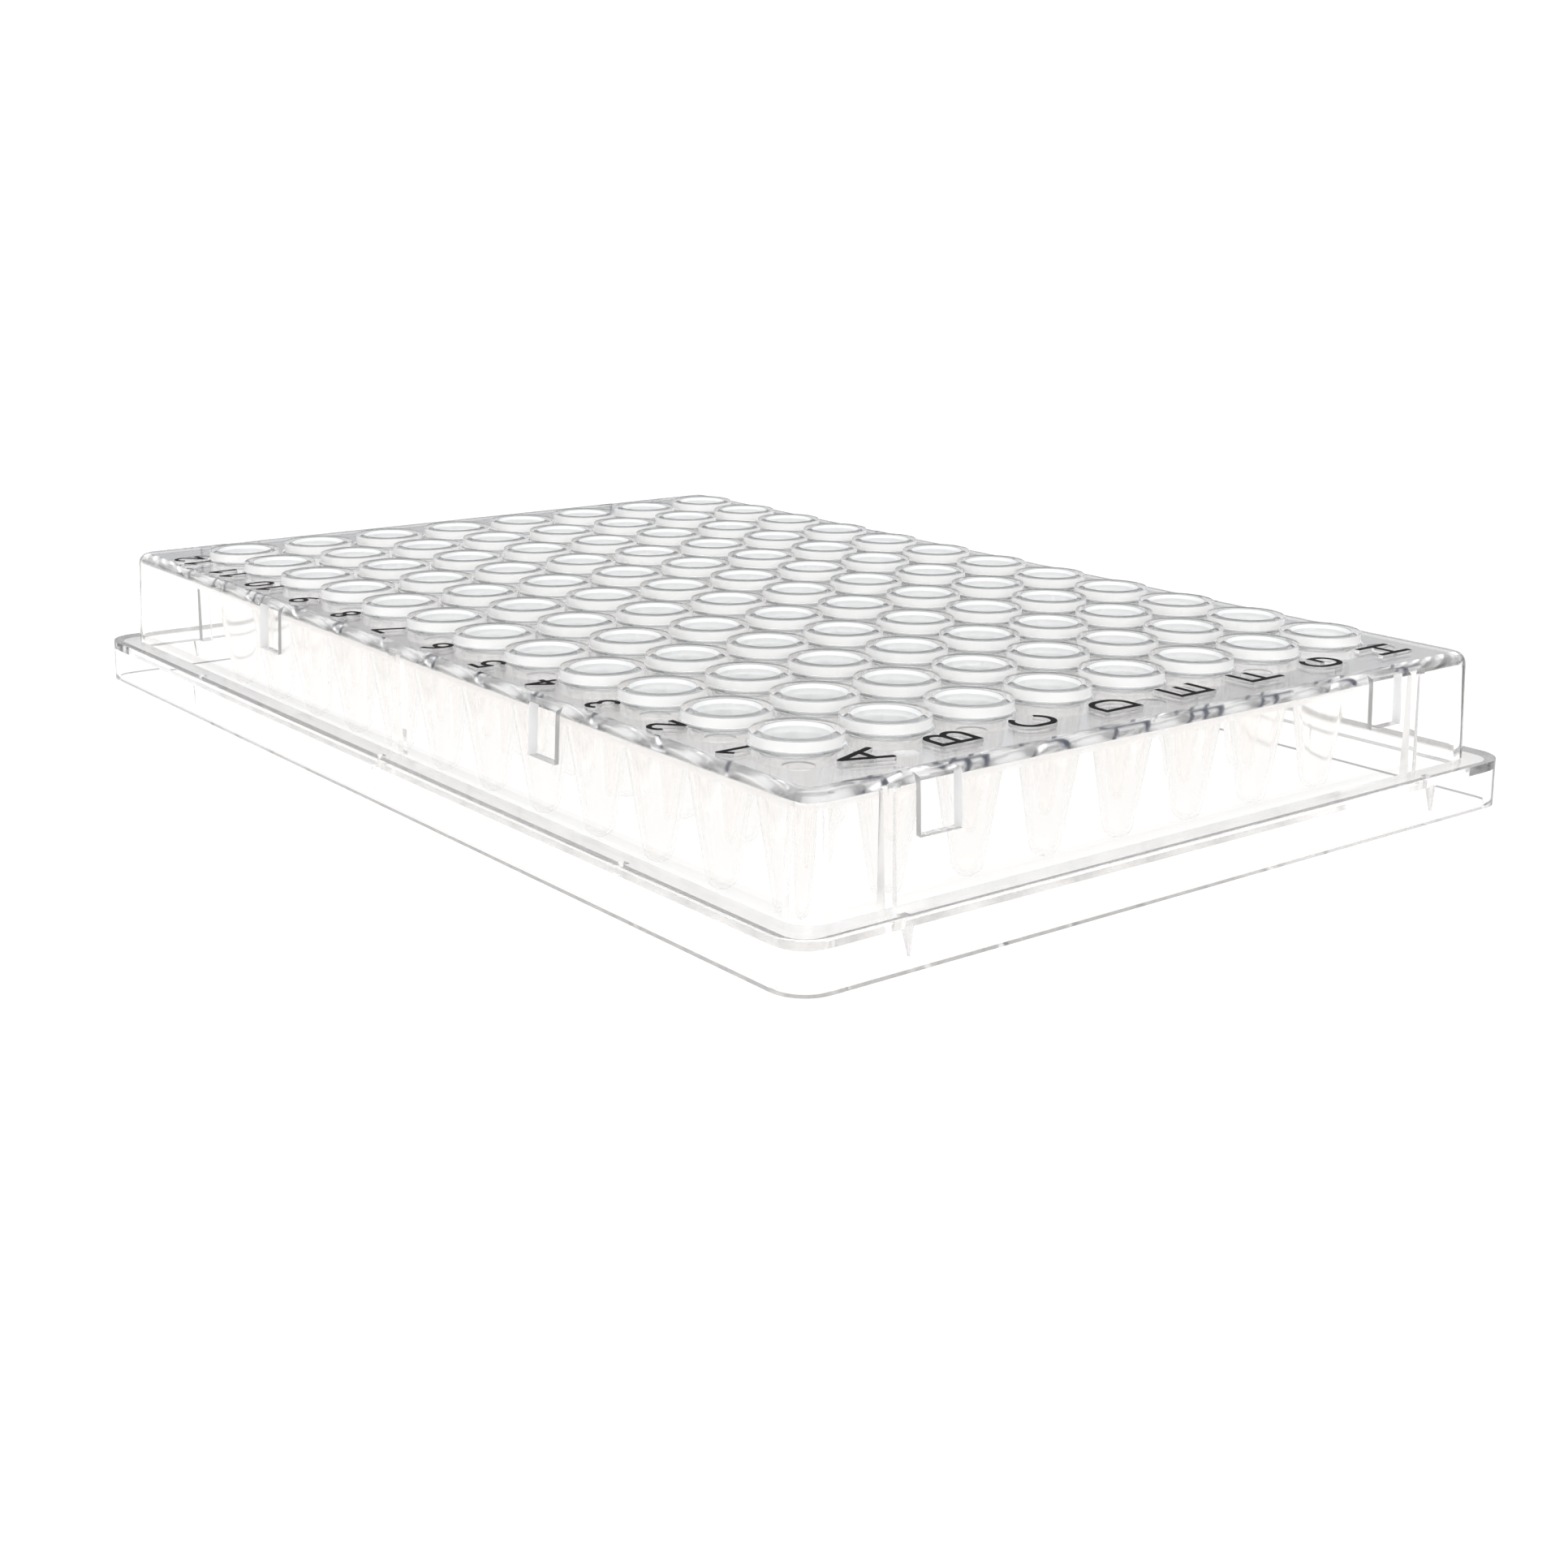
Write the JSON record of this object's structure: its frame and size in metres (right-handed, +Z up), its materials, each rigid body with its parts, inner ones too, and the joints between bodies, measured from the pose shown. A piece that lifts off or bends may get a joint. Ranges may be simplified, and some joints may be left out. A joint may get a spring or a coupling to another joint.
{
  "type": "well plate",
  "caption": "Clear full-skirt plate with a grid of raised-rim conical wells hanging from its deck, lettered rows and numbered columns, and a flange round the base.",
  "frame": {"origin": "centre of the base, on the plane the plate stands on", "axes": "+X along the long side from column 1 to column 12, +Y along the short side towards row A, +Z up through the wells"},
  "size_m": [0.1278, 0.0854, 0.0155],
  "materials": {
    "clear_plastic": "clear, glossy, moulded in one piece",
    "print_black": "black print on the raised letters and numbers"
  },
  "bodies": {
    "root": {"plate": "clear_plastic"}
  },
  "joints": []
}
